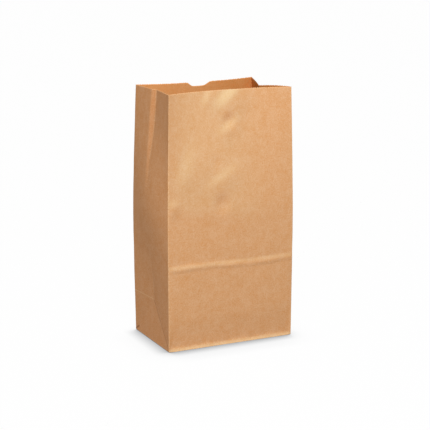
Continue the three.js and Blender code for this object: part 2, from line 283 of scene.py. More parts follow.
class SackFinish(bpy.types.PropertyGroup):
    """The paper's colours, and how strongly its grain shows."""

    outside: colour_setting(
        "Outside", "Colour of the kraft's outer face where nothing has rubbed it", (0.623, 0.308, 0.134)
    )
    # The paler colour serves both for wear and for the painted sheen and highlights on the long panels
    rubbed_and_sheen: colour_setting(
        "Rubbed", "Colour of the outer face where packing and hands have rubbed it", (0.640, 0.385, 0.189)
    )
    # The inner face is a deeper orange than the outer, partly its own colour and partly painted light that
    # bounces inside the sack and shines through its walls; the paler tone it takes where the outer face is
    # paler also carries painted light
    inside: colour_setting("Inside", "Colour of the kraft's inner face", (0.60, 0.24, 0.06))
    inside_rubbed_and_sheen: colour_setting(
        "Inside, rubbed", "Colour of the inner face where it is rubbed", (0.73, 0.35, 0.13)
    )
    cut: colour_setting("Cut edge", "Colour of the paper where it is cut", (0.70, 0.43, 0.23))
    grain: share_setting("Grain", "Contrast of the fibres and clouds", 1.0)


class StudioSettings(bpy.types.PropertyGroup):
    """The light, the floor and the camera."""

    sky: share_setting("Sky", "Strength of the even light from all round", 0.38)
    key: FloatProperty(
        name="Key", description="Power of the large lamp above the front", default=16.8, unit="POWER"
    )
    key_turn: FloatProperty(
        name="Key turn", description="Where the lamp stands, round from the front",
        default=math.radians(-21), subtype="ANGLE",
    )
    key_rise: FloatProperty(
        name="Key rise", description="How high the lamp stands over the floor",
        default=math.radians(48), subtype="ANGLE",
    )
    key_distance: length_setting("Key distance", "From the sack to the lamp", 1.3)
    key_size: length_setting("Key size", "Side of the square lamp", 0.6)
    shadow_reach: length_setting("Shadow reach", "How far the close shadow spreads from the foot", 0.0155)
    lens: FloatProperty(name="Lens", description="Focal length", default=116.549, unit="CAMERA")


def hump(v):
    """1 at v = 0, falling smoothly to 0 at v = -1 and v = 1."""
    return np.where(np.abs(v) < 1, (1 + np.cos(np.pi * v)) / 2, 0)


def soft_ramp(v):
    """0 below v = 0, then a straight rise to 1 at v = 1, with a soft start."""
    softness = 0.2
    r = np.maximum(0, v)
    return (np.hypot(r, softness) - softness) / (math.hypot(1, softness) - softness)


def clamp01(v):
    return np.clip(v, 0, 1)


def waves(parts, x):
    return sum(height * np.sin(x / length + phase) for height, length, phase in parts)


class SackShape:
    """Where the paper lies: every length in millimetres."""

    def __init__(self, sizes):
        folds = ("width", "depth", "height", "thickness", "fold_radius", "edge_radius", "flap")
        for name in (*folds, "tooth_pitch", "notch_width", "notch_depth"):
            setattr(self, name, getattr(sizes, name) / MM)
        self.imprint_height = self.depth - IMPRINT_SETBACK

    def panel_width(self, panel):
        return self.width if panel["long"] else self.depth

    def towards_rim(self, z, start):
        return soft_ramp((z - start) / (self.height - start))

    def tent(self, across, width):
        """1 on a panel's middle line, falling straight to 0 at its two folds."""
        return 1 - np.abs(across) / (width / 2)

    def off_folds(self, x):
        """0 at a long panel's two folds, and 1 a little way in from them."""
        return clamp01((self.width / 2 - np.abs(x)) / MARKS_FADE)

    def bow(self, x, z, depth):
        profile = 1 - np.abs(2 * x / self.width) ** BOW_FLATNESS
        return -depth * profile * self.towards_rim(z, BOW_START - BOW_START_TILT * x)

    def foot(self, x, z):
        """The lip at the foot, and the shallow dip over it where the panel stands in."""
        height = FOOT_HEIGHT * (1 + waves(FOOT_WAVES, x))
        dip = FOOT_DIP * hump(clamp01((z - height) / (FOOT_DIP_TOP - FOOT_HEIGHT)))
        return (FOOT_LIP + FOOT_DIP) * clamp01(1 - z / height) ** FOOT_ROLL - dip

    def along_rise(self, mark, x, z):
        """How far past a rise's steep side, in its widths, and 1 at its middle to 0 at its ends."""
        start = np.array(mark["from"], float)
        run = np.array(mark["to"], float) - start
        length = np.hypot(*run)
        along = ((x - start[0]) * run[0] + (z - start[1]) * run[1]) / length
        across = ((x - start[0]) * run[1] - (z - start[1]) * run[0]) / length
        return across / mark["width"], hump((along - length / 2) / (length / 2 + mark["width"]))

    def handling(self, x, z):
        """The long rises and the dimples in the front panel."""
        relief = np.zeros_like(x)
        for mark in FRONT_RISES:
            aside, along = self.along_rise(mark, x, z)
            past_crest = aside + RISE_CREST
            past_crest = np.where(past_crest > 0, past_crest, past_crest / RISE_FAR_SIDE)
            relief += mark["rise"] * hump(past_crest) * along
        for mark in FRONT_DIMPLES:
            away = np.hypot(x - mark["at"][0], z - mark["at"][1])
            relief -= mark["depth"] * hump(away / mark["radius"])
        return relief

    def handling_highlight_and_shade(self, x, z):
        """The painted highlight on the steep side of each rise, which faces the lamp, and the painted shade on
        the upper half of each dimple, which faces down.
        """
        painted_light = np.zeros_like(x)
        for mark in FRONT_RISES:
            aside, along = self.along_rise(mark, x, z)
            painted_light += mark["rubbed_and_sheen"] * hump(aside / RISE_HIGHLIGHT) * along
        for mark in FRONT_DIMPLES:
            away = np.hypot(x - mark["at"][0], z - mark["at"][1] - mark["radius"] / 2)
            painted_light -= DIMPLE_SHADE * mark["depth"] * hump(away / mark["radius"])
        return painted_light

    def imprint(self, x, z):
        """The wavy ridge that the folded bottom's edge pressed into the front panel."""
        crest = self.imprint_height - IMPRINT_TILT * x + waves(IMPRINT_WAVES, x)
        rise = IMPRINT_RISE * (1 + waves(IMPRINT_RISE_WAVES, x) - IMPRINT_RISE_LOSS * x / self.width)
        above = hump((z - crest) / IMPRINT_UPPER_FLANK)
        below = IMPRINT_LOWER_SHARE * hump((z - crest) / IMPRINT_LOWER_FLANK)
        below += (1 - IMPRINT_LOWER_SHARE) * clamp01(z / crest)
        return rise * np.where(z > crest, above, below)

    def front_relief(self, x, z):
        marks = self.imprint(x, z) + self.foot(x, z) + self.handling(x, z)
        return self.bow(x, z, FRONT_BOW) + self.off_folds(x) * marks

    def rubbing_and_sheen(self, panel, station, z):
        """How far the paper is made paler: not at all in the gussets, and on the long panels partly by wear and
        partly by painted sheen and highlights, most on the front above the line where it bows in, along the lit
        sides of its rises, on its imprint and at its foot; the upper halves of its dimples are painted darker
        as shade. Below 0, as on the leaf, it is painted warmer where that facet catches the light."""
        x = panel["across"] * station
        if panel["name"] == "left":
            grown, strip = self.leaf(x, z)
            # Painted tint: the leaf, which catches the light, is made warmer
            return -LEAF_LIT_TINT * grown * clamp01(LEAF_LIT_TINT_RISE * strip) * (x > LEAF_LIT_TINT_EDGE)
        if not panel["long"]:
            return np.zeros_like(z)
        # Painted sheen: above this line the long panels bow in and lean back, and are painted paler as if
        # catching the lamp
        line = BOW_START - BOW_START_TILT * x - SHEEN_LINE_DROP - waves(SHEEN_LINE_WAVES, x)
        above = clamp01((z - line) / SHEEN_LINE_SOFTNESS)
        faded = 0
        for side, start, length, taken in SHEEN_FADES:
            faded = faded + taken * clamp01((side * x - start) / length)
        rubbed_and_sheen = RUBBED_ALL_OVER + SHEEN_ABOVE_BOW * above * (1 - faded)
        if panel["name"] == "front":
            # Painted highlight along the imprint's upper flank, which faces up towards the lamp
            past_middle = z - self.imprint_height - IMPRINT_UPPER_FLANK / 2
            rubbed_and_sheen += IMPRINT_HIGHLIGHT * hump(past_middle / (IMPRINT_UPPER_FLANK * IMPRINT_HIGHLIGHT_WIDTH))
            # The lip's paler strip is part wear and part painted highlight; the rises add painted highlights,
            # the dimples painted shade
            rubbed_and_sheen += clamp01(FOOT_LIP_WEAR_AND_SHEEN * (1 - z / FOOT_HEIGHT)) + self.handling_highlight_and_shade(x, z)
        return np.clip(rubbed_and_sheen, 0, MOST_RUBBED_AND_SHEEN)

    def back_relief(self, x, z):
        crease = BACK_CREASE_DEPTH * hump((z - self.depth / 2) / BACK_CREASE_FLANK)
        lopsided = 1 - BACK_BOW_SHIFT * x / (self.width / 2) ** 2
        return self.bow(x, z, BACK_BOW) * lopsided + self.off_folds(x) * (self.foot(x, z) - crease)

    def peak_relief(self, y, z):
        """The bottom's triangle in a gusset: its peak pops in, half the depth up."""
        peak = self.depth / 2
        across = self.tent(y, self.depth)
        faded = clamp01((z - peak) / PEAK_FADE)
        return -PEAK_DENT * np.where(z <= peak, np.minimum(z / peak, across), across * hump(faded))

    def gusset_relief(self, y, z, pinch, pinch_start):
        span = np.where(z > GUSSET_BELLY_HEIGHT, GUSSET_BELLY_RISE, GUSSET_BELLY_SPAN)
        belly = GUSSET_BELLY * hump((z - GUSSET_BELLY_HEIGHT) / span)
        arch = np.cos(np.pi * y / self.depth)
        pinched = pinch * self.tent(y, self.depth) * self.towards_rim(z, pinch_start)
        return belly * arch - pinched + self.peak_relief(y, z)

    def right_relief(self, y, z):
        return self.gusset_relief(y, z, RIGHT_PINCH, RIGHT_PINCH_START)

    def leaf(self, y, z):
        """How far the leaf has grown at this height, and the share across it, from 1 at the crease to 0."""
        past = clamp01((z - LEAF_WIDEST) / (self.height - LEAF_WIDEST))
        grown = np.where(z > LEAF_WIDEST, 1, hump((z - LEAF_WIDEST) / (LEAF_WIDEST - LEAF_FOOT)))
        width = LEAF_WIDTH * (np.sqrt(grown) - LEAF_RIM_NARROWING * past)
        return grown, clamp01(1 - y / np.maximum(width, 0.01))

    def left_relief(self, y, z):
        grown, strip = self.leaf(y, z)
        across = np.where(y > 0, strip, self.tent(y, self.depth))
        leaf = LEAF_DEPTH * grown**LEAF_DEPTH_TAPER * across
        return self.gusset_relief(y, z, LEFT_PINCH, LEFT_PINCH_START) - leaf

    def relief(self, panel, station, z):
        """How far a panel stands out from the straight line between its two folds."""
        return getattr(self, panel["name"] + "_relief")(panel["across"] * station, z)

    def edge_at(self, name, z, inset):
        edge = EDGES[name]
        lean = self.towards_rim(z, LEAN_START)
        belly = edge["belly"] * np.sin(np.pi * clamp01(z / self.height))
        x = edge["side"] * (self.width / 2 - inset) + edge["lean"][0] * lean + belly
        y = edge["face"] * (self.depth / 2 - inset) + edge["lean"][1] * lean
        return x, y

    def fold_inset(self, z):
        """How far in the paper is under the fold at the foot."""
        below = np.maximum(0, self.fold_radius - z)
        return self.fold_radius - np.sqrt(np.maximum(0, self.fold_radius**2 - below**2))

    def seam_offset(self, station):
        """The outer ply of the glued seam stands one thickness proud, and settles back past the seam."""
        start = SEAM_CENTRE - SEAM_WIDTH / 2
        end = SEAM_CENTRE + SEAM_WIDTH / 2
        settled = clamp01(1 - (station - end) / SEAM_SETTLE)
        return self.thickness * np.where(station < start, 0, settled)

    def wall(self, panel, station, z):
        """Points of the paper's outer face at stations along a panel and at heights."""
        station = np.asarray(station, float)
        z = np.asarray(z, float)
        share = station / self.panel_width(panel) + 0.5
        inset = self.fold_inset(z)
        if panel["name"] == "back":
            inset = inset - self.seam_offset(station)
        from_x, from_y = self.edge_at(panel["from"], z, inset)
        to_x, to_y = self.edge_at(panel["to"], z, inset)
        out = self.relief(panel, station, z)
        drop = 0 if panel["long"] else GUSSET_RIM_DROP * out**2 * self.towards_rim(z, LEAN_START)
        ply = PLIES_BELOW[panel["name"]] * self.thickness * clamp01(1 - z / PLY_SETTLE)
        return np.stack(
            [
                from_x + (to_x - from_x) * share + panel["outward"][0] * out,
                from_y + (to_y - from_y) * share + panel["outward"][1] * out,
                z - drop + ply,
            ],
            axis=-1,
        )

    def rim_height(self, panel, station):
        """The rim, with the thumb notch's slanting flanks and round corners in the back panel."""
        if panel["name"] != "back":
            return self.height
        flank = self.notch_depth * NOTCH_FLANKS[station >= 0]
        inwards = (self.notch_width / 2 - abs(station)) / flank
        rise = 0.5 * (inwards + math.hypot(inwards, NOTCH_SOFTNESS))
        cut = 0.5 * (rise + 1 - math.hypot(rise - 1, NOTCH_SOFTNESS))
        return self.height - self.notch_depth * cut if inwards > -NOTCH_CORNER else self.height


class NodeBuilder:
    """Adds nodes to a tree. An input is given as a plain value or as another node's output."""

    def __init__(self, tree):
        self.tree = tree

    def add(self, kind, inputs=None, **settings):
        node = self.tree.nodes.new(kind)
        for name, value in settings.items():
            setattr(node, name, value)
        for name, value in (inputs or {}).items():
            if isinstance(value, bpy.types.NodeSocket):
                self.tree.links.new(value, node.inputs[name])
            else:
                node.inputs[name].default_value = value
        return node

    def math(self, operation, *values, clamp=False):
        node = self.add("ShaderNodeMath", dict(enumerate(values)), operation=operation, use_clamp=clamp)
        return node.outputs[0]

    def vector_math(self, operation, *values):
        node = self.add("ShaderNodeVectorMath", dict(enumerate(values)), operation=operation)
        return node.outputs["Vector"]

    def scale(self, vector, factor):
        node = self.add("ShaderNodeVectorMath", {"Vector": vector, "Scale": factor}, operation="SCALE")
        return node.outputs["Vector"]

    def mix_colour(self, factor, first, second, blend="MIX"):
        node = self.add("ShaderNodeMix", data_type="RGBA", blend_type=blend, clamp_factor=False)
        for socket, value in ((0, factor), (6, first), (7, second)):
            if isinstance(value, bpy.types.NodeSocket):
                self.tree.links.new(value, node.inputs[socket])
            else:
                node.inputs[socket].default_value = value
        return node.outputs[2]


def seen_plainly(build):
    """1 for the camera's rays, also by way of a mirror or a pane, and 0 for the light's own rays."""
    seen = build.add("ShaderNodeLightPath").outputs
    shown = build.math("MAXIMUM", seen["Is Camera Ray"], seen["Is Glossy Ray"])
    return build.math("MAXIMUM", shown, seen["Is Transmission Ray"])


def add_sockets(tree, way, sockets):
    return {name: tree.interface.new_socket(name, in_out=way, socket_type=kind) for name, kind in sockets}


def cut_and_rippled_tree():
    """Geometry nodes that give a flat-cut sheet the knife's teeth and the paper's own ripples."""
    tree = bpy.data.node_groups.new("Cut and rippled paper", "GeometryNodeTree")
    sockets = add_sockets(
        tree,
        "INPUT",
        (
            ("Sheet", "NodeSocketGeometry"),
            ("Tooth Depth", "NodeSocketFloat"),
            ("Tooth Unevenness", "NodeSocketFloat"),
            ("Ripple Height", "NodeSocketFloat"),
            ("Ripple Size", "NodeSocketFloat"),
            ("Seed", "NodeSocketInt"),
            ("Paper", "NodeSocketMaterial"),
        ),
    )
    add_sockets(tree, "OUTPUT", (("Sheet", "NodeSocketGeometry"),))
    build = NodeBuilder(tree)
    given = build.add("NodeGroupInput").outputs

    place, way = (
        build.add("GeometryNodeInputNamedAttribute", {"Name": name}, data_type=kind).outputs[0]
        for name, kind in (("tooth_place", "FLOAT"), ("tooth_way", "FLOAT_VECTOR"))
    )
    valley = build.math("MULTIPLY", build.math("PINGPONG", place, 0.5), 2)
    tooth = build.add("ShaderNodeMath", {0: place}, operation="FLOOR").outputs[0]
    uneven = build.add("FunctionNodeRandomValue", data_type="FLOAT")
    tree.links.new(build.math("SUBTRACT", 1, given["Tooth Unevenness"]), uneven.inputs[2])
    tree.links.new(build.math("ADD", 1, given["Tooth Unevenness"]), uneven.inputs[3])
    tree.links.new(tooth, uneven.inputs["ID"])
    tree.links.new(given["Seed"], uneven.inputs["Seed"])
    bite = build.math("MULTIPLY", build.math("MULTIPLY", valley, uneven.outputs[1]), given["Tooth Depth"])
    cut = {"Geometry": given["Sheet"], "Offset": build.scale(way, bite)}
    toothed = build.add("GeometryNodeSetPosition", cut)

    spot = build.add("GeometryNodeInputPosition").outputs[0]
    noise = build.add(
        "ShaderNodeTexNoise",
        {
            "Vector": spot,
            "W": given["Seed"],
            "Scale": build.math("DIVIDE", 1, given["Ripple Size"]),
            "Detail": 2.0,
            "Roughness": 0.45,
        },
        noise_dimensions="4D",
    )
    wave = build.math("MULTIPLY", build.math("SUBTRACT", noise.outputs[0], 0.5), given["Ripple Height"])
    # The noise swings about a quarter either way, and the sheet is flat where it stands on the floor
    height = build.add("ShaderNodeSeparateXYZ", {0: spot}).outputs["Z"]
    off_floor = build.math("MULTIPLY", height, 60, clamp=True)
    normal = build.add("GeometryNodeInputNormal").outputs[0]
    lift = build.scale(normal, build.math("MULTIPLY", build.math("MULTIPLY", wave, off_floor), 4))
    rippled = build.add("GeometryNodeSetPosition", {"Geometry": toothed.outputs[0], "Offset": lift})

    realized = build.add("GeometryNodeRealizeInstances", {"Geometry": rippled.outputs[0]}).outputs[0]
    papered = build.add("GeometryNodeSetMaterial", {"Geometry": realized, "Material": given["Paper"]})
    build.add("NodeGroupOutput", {"Sheet": papered.outputs[0]})
    return tree, sockets


def grain_group():
    """Shader group: the clouds, streaks and fibres of kraft paper, over the sheet's own map in metres."""
    if "Kraft grain" in bpy.data.node_groups:
        return bpy.data.node_groups["Kraft grain"]
    tree = bpy.data.node_groups.new("Kraft grain", "ShaderNodeTree")
    add_sockets(tree, "INPUT", (("Vector", "NodeSocketVector"), ("Contrast", "NodeSocketFloat")))
    add_sockets(tree, "OUTPUT", [(name, "NodeSocketFloat") for name in ("Tone", "Fibre", "Height")])
    build = NodeBuilder(tree)
    given = build.add("NodeGroupInput").outputs

    def noise(stretch, scale, detail, turn=0.0, roughness=0.55):
        mapped = build.add(
            "ShaderNodeMapping", {"Vector": given["Vector"], "Rotation": (0, 0, turn), "Scale": (*stretch, 1)}
        )
        node = build.add(
            "ShaderNodeTexNoise",
            {"Vector": mapped.outputs[0], "Scale": scale, "Detail": detail, "Roughness": roughness},
            noise_dimensions="2D",
        )
        return build.math("SUBTRACT", node.outputs[0], 0.5)

    # Mill clouds a centimetre or so wide, specks and flecks down to a millimetre, and faint streaks
    clouds = noise((1, 1), 95, 3.0)
    specks = noise((1, 0.9), 850, 2.0)
    flecks = noise((1, 0.8), 260, 2.0)
    streaks = noise((1, 0.05), 300, 2.0)

    # Long fibres lie every way but mostly along the run: the crests of noises that are stretched one way
    strands = None
    for turn, weight in ((0.1, 1.0), (0.75, 0.6), (-0.7, 0.6)):
        off_crest = build.math("MULTIPLY", build.math("ABSOLUTE", noise((1, 0.14), 1700, 2.0, turn)), 22)
        strand = build.math("MULTIPLY", build.math("SUBTRACT", 1, off_crest, clamp=True), weight)
        strands = strand if strands is None else build.math("MAXIMUM", strands, strand)

    even_strands = build.math("SUBTRACT", strands, 0.25)
    tone = build.math("MULTIPLY", clouds, 0.65)
    for part, share in ((specks, 1.75), (flecks, 0.6), (streaks, 0.18), (even_strands, -0.12)):
        tone = build.math("ADD", tone, build.math("MULTIPLY", part, share))
    tone = build.math("ADD", build.math("MULTIPLY", tone, given["Contrast"]), 0.5, clamp=True)
    height = build.math("ADD", build.math("MULTIPLY", specks, 0.7), build.math("MULTIPLY", strands, 0.25))
    build.add("NodeGroupOutput", {"Tone": tone, "Fibre": strands, "Height": height})
    return tree


def tinted(colour, factors):
    return (*(c * f for c, f in zip(colour, factors)), 1)


def crease_group():
    """Shader group: 1 on a straight crease between two points of the sheet's map, falling to 0 beside it."""
    if "Sheet crease" in bpy.data.node_groups:
        return bpy.data.node_groups["Sheet crease"]
    tree = bpy.data.node_groups.new("Sheet crease", "ShaderNodeTree")
    vectors = [(name, "NodeSocketVector") for name in ("Vector", "From", "To")]
    add_sockets(tree, "INPUT", (*vectors, ("Width", "NodeSocketFloat")))
    add_sockets(tree, "OUTPUT", (("Mask", "NodeSocketFloat"),))
    build = NodeBuilder(tree)
    given = build.add("NodeGroupInput").outputs
    run = build.vector_math("SUBTRACT", given["To"], given["From"])
    off = build.vector_math("SUBTRACT", given["Vector"], given["From"])
    square = build.add("ShaderNodeVectorMath", {0: run, 1: run}, operation="DOT_PRODUCT").outputs["Value"]
    dot = build.add("ShaderNodeVectorMath", {0: off, 1: run}, operation="DOT_PRODUCT").outputs["Value"]
    share = build.math("DIVIDE", dot, square, clamp=True)
    aside = build.vector_math("SUBTRACT", off, build.scale(run, share))
    away = build.add("ShaderNodeVectorMath", {0: aside}, operation="LENGTH").outputs["Value"]
    near = build.math("SUBTRACT", 1, build.math("DIVIDE", away, given["Width"]), clamp=True)
    build.add("NodeGroupOutput", {"Mask": build.math("MULTIPLY", near, near)})
    return tree


def kraft_material(name, colour, rubbed_and_sheen_colour, contrast, roughness, creases=()):
    """One face of the kraft sheet: its grain, paler where its mask is high, which is part wear and part painted
    sheen and highlights, and where a fold has worn it.
    """
    material = bpy.data.materials.new(name)
    material.use_nodes = True
    tree = material.node_tree
    tree.nodes.clear()
    build = NodeBuilder(tree)
    sheet = build.add("ShaderNodeUVMap", uv_map="sheet").outputs[0]
    grain = build.add("ShaderNodeGroup", node_tree=grain_group())
    tree.links.new(sheet, grain.inputs["Vector"])
    rubbed_and_sheen = build.add("ShaderNodeAttribute", attribute_name="rubbed_and_sheen").outputs["Fac"]
    fresh = build.math("SUBTRACT", FRESH_GRAIN, build.math("MULTIPLY", rubbed_and_sheen, RUBBED_GRAIN))
    tree.links.new(build.math("MULTIPLY", fresh, contrast), grain.inputs["Contrast"])
    # Mixing towards the paler colour paints sheen and highlights as well as wear
    base = build.mix_colour(rubbed_and_sheen, (*colour, 1), (*rubbed_and_sheen_colour, 1))
    fibres = build.mix_colour(grain.outputs["Tone"], DARK_TONE, PALE_TONE)
    paper = build.mix_colour(1.0, base, fibres, blend="MULTIPLY")
    # The fold mask is wear on the edges and the rim, and at the foot partly a painted highlight
    fold = build.add("ShaderNodeAttribute", attribute_name="fold").outputs["Fac"]
    worn = build.math("MULTIPLY", fold, build.math("MULTIPLY", grain.outputs["Tone"], WORN_GRAIN), clamp=True)
    paper = build.mix_colour(worn, paper, tinted(rubbed_and_sheen_colour, WORN_AND_HIGHLIGHT_TINT))

    # Fine creases: a pale line, part wear and part painted highlight, or a dark line of painted shade where the
    # paper folds in
    for start, end, width, depth in creases:
        line = build.add(
            "ShaderNodeGroup",
            {
                "Vector": sheet,
                "From": (start[0] * MM, start[1] * MM, 0),
                "To": (end[0] * MM, end[1] * MM, 0),
                "Width": width * MM,
            },
            node_tree=crease_group(),
        ).outputs["Mask"]
        strength = build.math("MULTIPLY", line, abs(depth), clamp=True)
        tint = tinted(rubbed_and_sheen_colour, WORN_AND_HIGHLIGHT_TINT) if depth > 0 else tinted(colour, CREASE_SHADE)
        paper = build.mix_colour(strength, paper, tint)

    bump = build.add("ShaderNodeBump", {"Height": grain.outputs["Height"], **GRAIN_RELIEF})
    rough = build.math("ADD", build.math("MULTIPLY", grain.outputs["Fibre"], GRAIN_ROUGHNESS), roughness)
    surface = build.add(
        "ShaderNodeBsdfPrincipled",
        {"Base Color": paper, "Roughness": rough, "Normal": bump.outputs[0], "Specular IOR Level": SHINE},
    )
    build.add("ShaderNodeOutputMaterial", {"Surface": surface.outputs[0]})
    return material


def gusset_creases(shape):
    """The fine creases of both gussets, painted on the sheet's map as dark lines of shade and pale lines of
    highlight:
    from, to, width, and how pale or dark.

    They are the triangle's front side, the line level with its peak, the start of the middle crease, and the
    nick at the rear corner.
    """
    half = shape.depth / 2
    left = 2 * shape.width + shape.depth + half
    right = shape.width + half
    lines = []
    for middle, back in ((left, -1), (right, 1)):
        lines += [
            ((middle - back * 1, half), (middle - back * (half - 1), 3), 1.0, -0.6),
            ((middle + back * 1, half + 1), (middle + back * (half - 1), half + 1), 0.9, 0.75),
            ((middle, half + 1), (middle - back * 1, half + 22), 1.2, 0.2),
            ((middle + back * (half - 1), 1.5), (middle + back * (half - 8), 6), 1.6, -1.2),
        ]
    return lines


def back_creases(shape):
    """The back's own lines, painted on the sheet's map: the seam's free edge as a painted shadow line with a
    painted highlight beside it, and a pale line on the bottom's soft crease.
    """
    start = shape.width + shape.depth
    seam = start + shape.width / 2 + SEAM_CENTRE - SEAM_WIDTH / 2
    return [
        ((seam, 1), (seam, shape.height), 0.5, -0.5),
        ((seam + 0.7, 1), (seam + 0.7, shape.height), 0.7, 0.35),
        ((start + 1, shape.depth / 2), (start + shape.width - 1, shape.depth / 2), 1.1, 0.25),
    ]


def kraft_materials(finish, shape):
    """The sheet's three finishes: outer face, inner face and cut edge."""
    lines = gusset_creases(shape) + back_creases(shape)
    looks = (
        ("kraft_outside", finish.outside, finish.rubbed_and_sheen, finish.grain, 0.6, lines),
        ("kraft_inside", finish.inside, finish.inside_rubbed_and_sheen, finish.grain * 0.9, 0.7, ()),
        ("kraft_cut_edge", finish.cut, finish.cut, finish.grain * 0.7, 0.8, ()),
    )
    return [bpy.data.materials.get(look[0]) or kraft_material(*look) for look in looks]


def make_sheet(name, points, faces, fields, sheet_map, scene):
    """Makes one paper piece: the flat-cut sheet goes through the cutting tree, and then gets its thickness.
    The fields are its points' places among the teeth and ways the teeth point, and their wear and rubbing."""
    sizes = scene.sack_sizes
    mesh = bpy.data.meshes.new(name)
    mesh.from_pydata([tuple(p) for p in np.asarray(points) * MM], [], faces)
    for label, values in fields.items():
        kind, key = ("FLOAT_VECTOR", "vector") if label == "tooth_way" else ("FLOAT", "value")
        layer = mesh.attributes.new(label, kind, "POINT")
        layer.data.foreach_set(key, np.asarray(values, np.float32).ravel())
    corners = np.empty(len(mesh.loops), np.int32)
    mesh.loops.foreach_get("vertex_index", corners)
    sheet_layer = mesh.uv_layers.new(name="sheet")
    sheet_layer.uv.foreach_set("vector", sheet_map(corners).astype(np.float32).ravel())
    piece = bpy.data.objects.new(name, mesh)
    scene.collection.objects.link(piece)

    outside, inside, cut = kraft_materials(scene.sack_finish, SackShape(sizes))
    tree, sockets = cut_and_rippled_tree()
    cutting = piece.modifiers.new("Cut and ripple", "NODES")
    cutting.node_group = tree
    for socket, value in (
        ("Tooth Depth", sizes.tooth_depth),
        ("Tooth Unevenness", sizes.tooth_wear),
        ("Ripple Height", sizes.ripple),
        ("Ripple Size", sizes.ripple_size),
        ("Seed", sizes.seed),
        ("Paper", outside),
    ):
        cutting[sockets[socket].identifier] = value
    plain = bpy.data.meshes.new_from_object(piece.evaluated_get(bpy.context.evaluated_depsgraph_get()))
    piece.modifiers.remove(cutting)
    piece.data = plain
    plain.name = name
    bpy.data.meshes.remove(mesh)
    for label in ("tooth_place", "tooth_way"):
        plain.attributes.remove(plain.attributes[label])
    plain.materials.clear()
    for material in (outside, inside, cut):
        plain.materials.append(material)
    ply = piece.modifiers.new("Paper thickness", "SOLIDIFY")
    ply.thickness = sizes.thickness
    ply.offset = -1
    ply.use_even_offset = True
    ply.material_offset = 1
    ply.material_offset_rim = 2
    return piece


def finish_piece(piece):
    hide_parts("paper_bag")
    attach(piece, "root")


def wall_columns(shape):
    """The sheet's columns all round: panel, station, place among the knife's teeth, and corner or not."""
    columns = []
    for panel in PANELS:
        width = shape.panel_width(panel)
        teeth = round(width / shape.tooth_pitch)
        stations = [(-width / 2, 0.0, True), (-width / 2 + shape.edge_radius, 0.0, False)]
        stations += [(-width / 2 + width * i / (2 * teeth), i / 2, False) for i in range(1, 2 * teeth)]
        stations.append((width / 2 - shape.edge_radius, float(teeth), False))
        if panel["name"] == "back":
            step = SEAM_CENTRE - SEAM_WIDTH / 2
            place = (step / width + 0.5) * teeth
            stations += [(step - SEAM_STEP, place, False), (step + SEAM_STEP, place, False)]
            stations.sort()
        columns += [(panel, *station) for station in stations]
    return columns


def wall_heights(shape):
    """Heights of the sheet's rows: round the foot's fold, then evenly in each stretch up to the rim."""
    turn = [shape.fold_radius * (1 - math.cos(k * math.pi / 10)) for k in range(5)]
    crest = shape.imprint_height
    stretches = (
        (shape.fold_radius, 4, 4),
        (4, shape.depth / 2, 17),
        (shape.depth / 2, crest - 5, 13),
        (crest - 5, crest + 6, 16),
        (crest + 6, BOW_START - 14, 9),
        (BOW_START - 14, shape.height - 6, 41),
        (shape.height - 6, shape.height, 6),
    )
    rows = list(turn)
    for low, high, parts in stretches:
        rows += [low + (high - low) * k / parts for k in range(parts)]
    return np.array([*rows, shape.height])


def fold_wear_and_foot_sheen(shape, panel, station, heights):
    """How worn the paper is: on the standing edges, the foot, the rim, and high up a gusset's crease. At the
    foot it is partly a painted highlight.
    """
    width = shape.panel_width(panel)
    wear = 0
    for away, (reach, most) in (
        (width / 2 - abs(station), STANDING_WEAR),
        (heights, FOOT_WEAR_AND_SHEEN),
        (heights - shape.height, RIM_WEAR),
    ):
        wear = np.maximum(wear, hump(away / reach) * most)
    if not panel["long"]:
        reach, most = GUSSET_WEAR
        grown = clamp01((heights - GUSSET_WEAR_START) / GUSSET_WEAR_RISE)
        wear = np.maximum(wear, hump(station / reach) * grown * most)
    return wear


